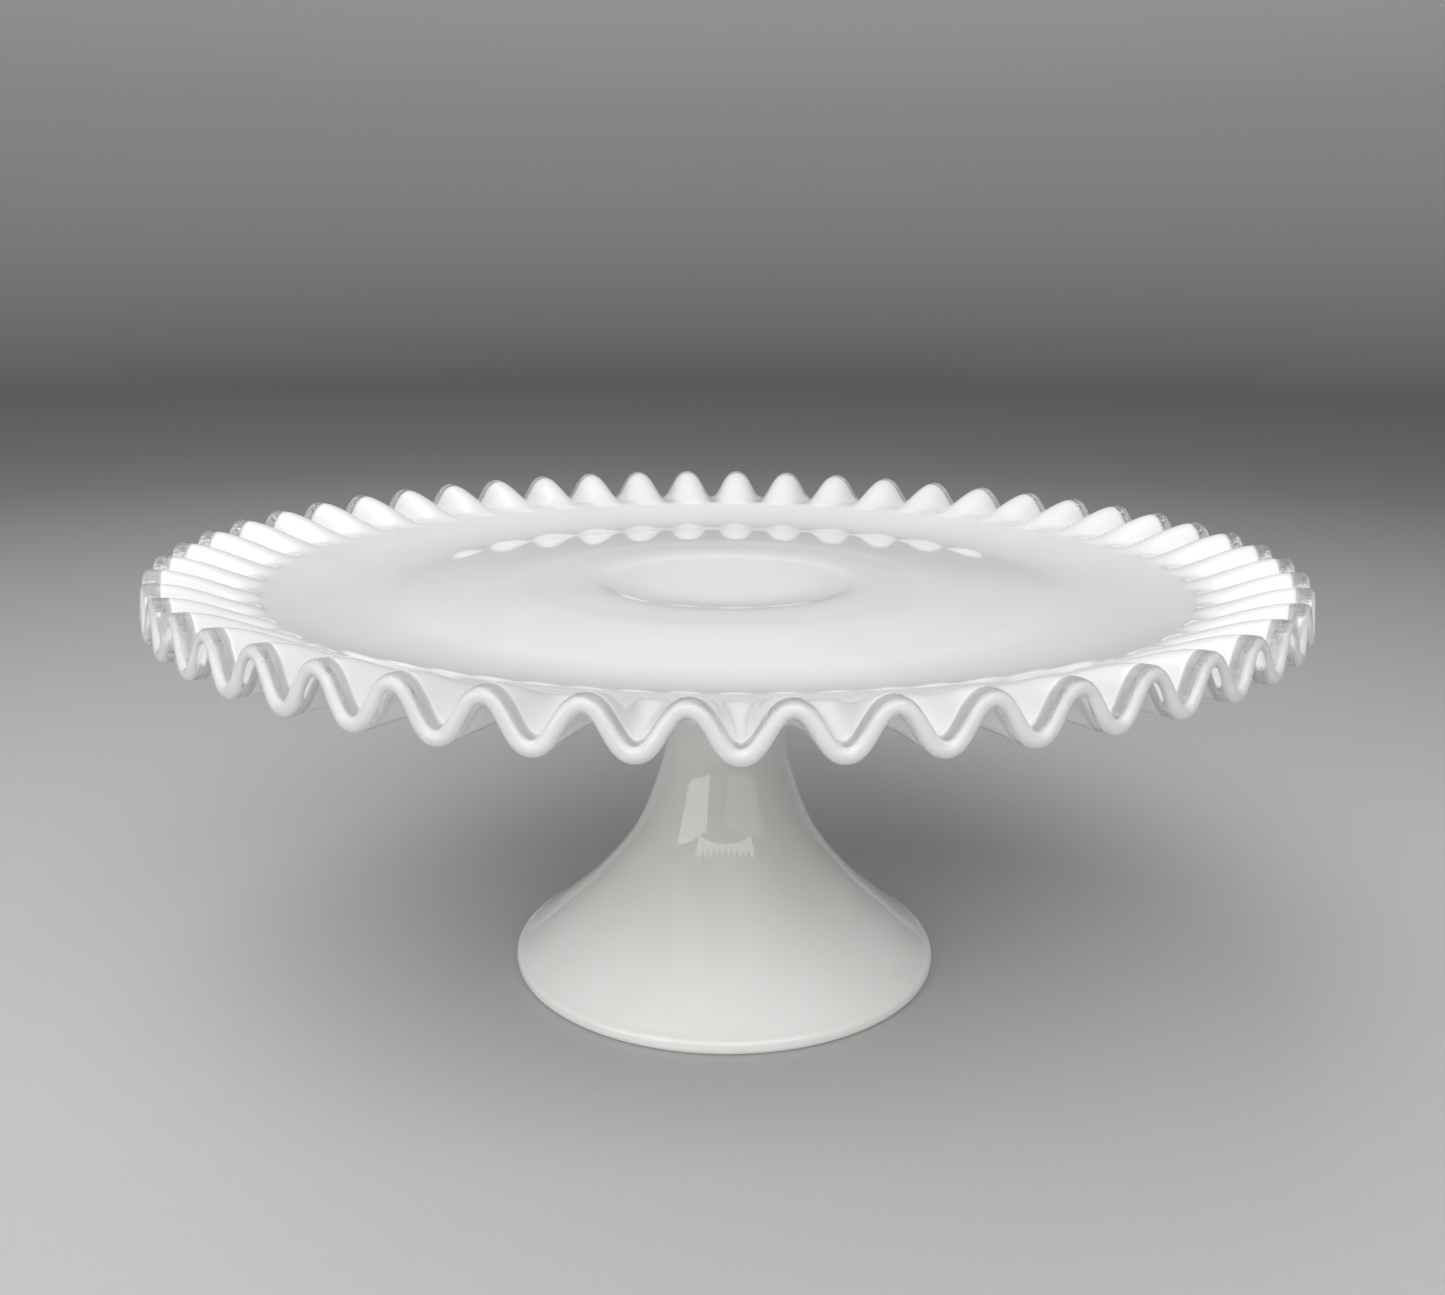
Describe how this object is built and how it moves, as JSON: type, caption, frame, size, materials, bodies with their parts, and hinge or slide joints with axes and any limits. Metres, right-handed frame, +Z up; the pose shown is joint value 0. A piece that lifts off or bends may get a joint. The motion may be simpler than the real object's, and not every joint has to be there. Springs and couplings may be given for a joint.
{
  "type": "cake stand",
  "caption": "Round footed cake stand in white opal glass, with a fluted, crimped plate edge tipped in clear glass and a hollow flared pedestal.",
  "frame": {"origin": "centre of the foot's resting ring, on the table", "axes": "+Z up the axis of the stand; the edge repeats all round, so the turn about +Z has no special direction"},
  "size_m": [0.33, 0.3299, 0.1338],
  "materials": {
    "opal_glass": "fire-polished gloss, opaque white",
    "opal_glass_foot": "fire-polished gloss, opaque warm white",
    "clear_glass": "fire-polished clear"
  },
  "bodies": {
    "root": {"plate": "opal_glass", "fluted_edge": "opal_glass", "crest_rim": "clear_glass", "pedestal": "opal_glass_foot"}
  },
  "joints": []
}
